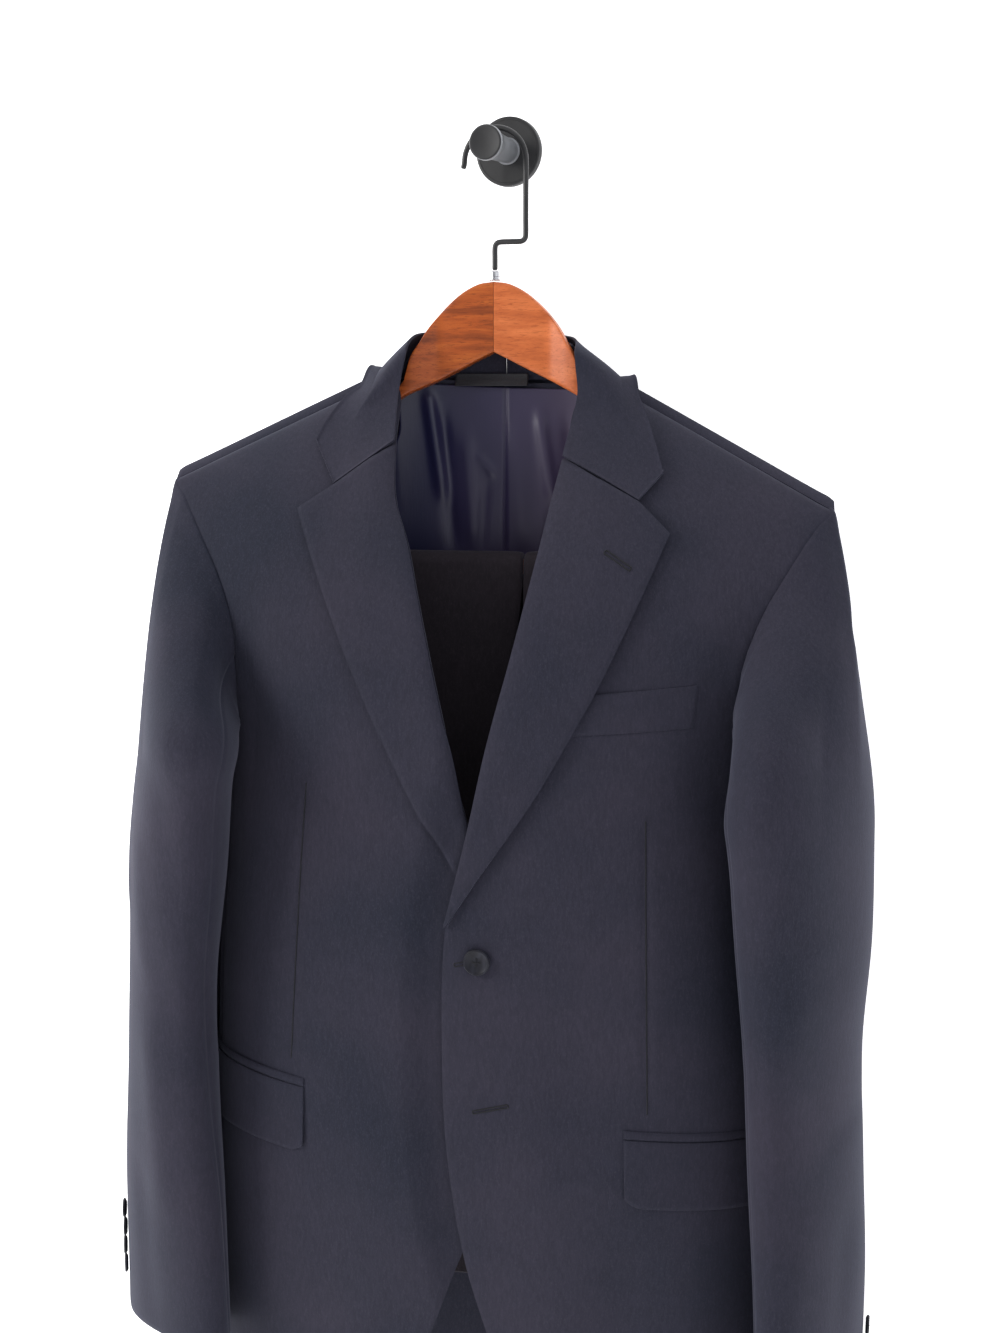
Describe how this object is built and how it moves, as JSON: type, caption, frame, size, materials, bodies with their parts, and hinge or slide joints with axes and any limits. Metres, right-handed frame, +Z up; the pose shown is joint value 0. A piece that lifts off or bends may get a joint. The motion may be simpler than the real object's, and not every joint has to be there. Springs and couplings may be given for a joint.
{
  "type": "two-piece suit on a wooden hanger and wall peg",
  "caption": "Tailored jacket, buttoned, on a contoured wooden hanger with pressed trousers folded over its bar, hung by a bent wire hook from a round wall peg.",
  "frame": {"origin": "centre of the wall plate's back face, which meets the wall", "axes": "+Z up, the suit's front faces -Y, +X is the wearer's left; the wall and peg are turned 10 degrees about +Z from the suit"},
  "size_m": [0.5741, 0.1918, 0.9684],
  "materials": {
    "suit_cloth": "matte",
    "trouser_cloth": "matte",
    "lining_satin": "satin",
    "hanger_wood": "satin",
    "black_metal": "satin",
    "ferrule_steel": "satin",
    "button_horn": "gloss",
    "label_black": "satin"
  },
  "bodies": {
    "root": {"wall_plate": "black_metal", "wall_peg": "black_metal", "hook_wire": "black_metal", "hook_ferrule": "ferrule_steel", "hanger_arm_left": "hanger_wood", "hanger_arm_right": "hanger_wood", "hanger_bar": "hanger_wood", "front_left": "suit_cloth", "side_left": "suit_cloth", "back_left": "suit_cloth", "lapel_left": "suit_cloth", "collar_fall_left": "suit_cloth", "collar_stand_left": "suit_cloth", "lining_left": "lining_satin", "trouser_leg_left": "trouser_cloth", "front_right": "suit_cloth", "side_right": "suit_cloth", "back_right": "suit_cloth", "lapel_right": "suit_cloth", "collar_fall_right": "suit_cloth", "collar_stand_right": "suit_cloth", "lining_right": "lining_satin", "trouser_leg_right": "trouser_cloth", "top_sleeve_L": "suit_cloth", "under_sleeve_L": "suit_cloth", "pocket_jet_L": "suit_cloth", "pocket_flap_L": "suit_cloth", "cuff_button_L1": "button_horn", "cuff_button_L2": "button_horn", "cuff_button_L3": "button_horn", "cuff_button_L4": "button_horn", "top_sleeve_R": "suit_cloth", "under_sleeve_R": "suit_cloth", "pocket_jet_R": "suit_cloth", "pocket_flap_R": "suit_cloth", "cuff_button_R1": "button_horn", "cuff_button_R2": "button_horn", "cuff_button_R3": "button_horn", "cuff_button_R4": "button_horn", "breast_welt": "suit_cloth", "button_upper": "button_horn", "button_lower": "button_horn", "neck_label": "label_black", "trouser_waistband": "trouser_cloth"}
  },
  "joints": []
}
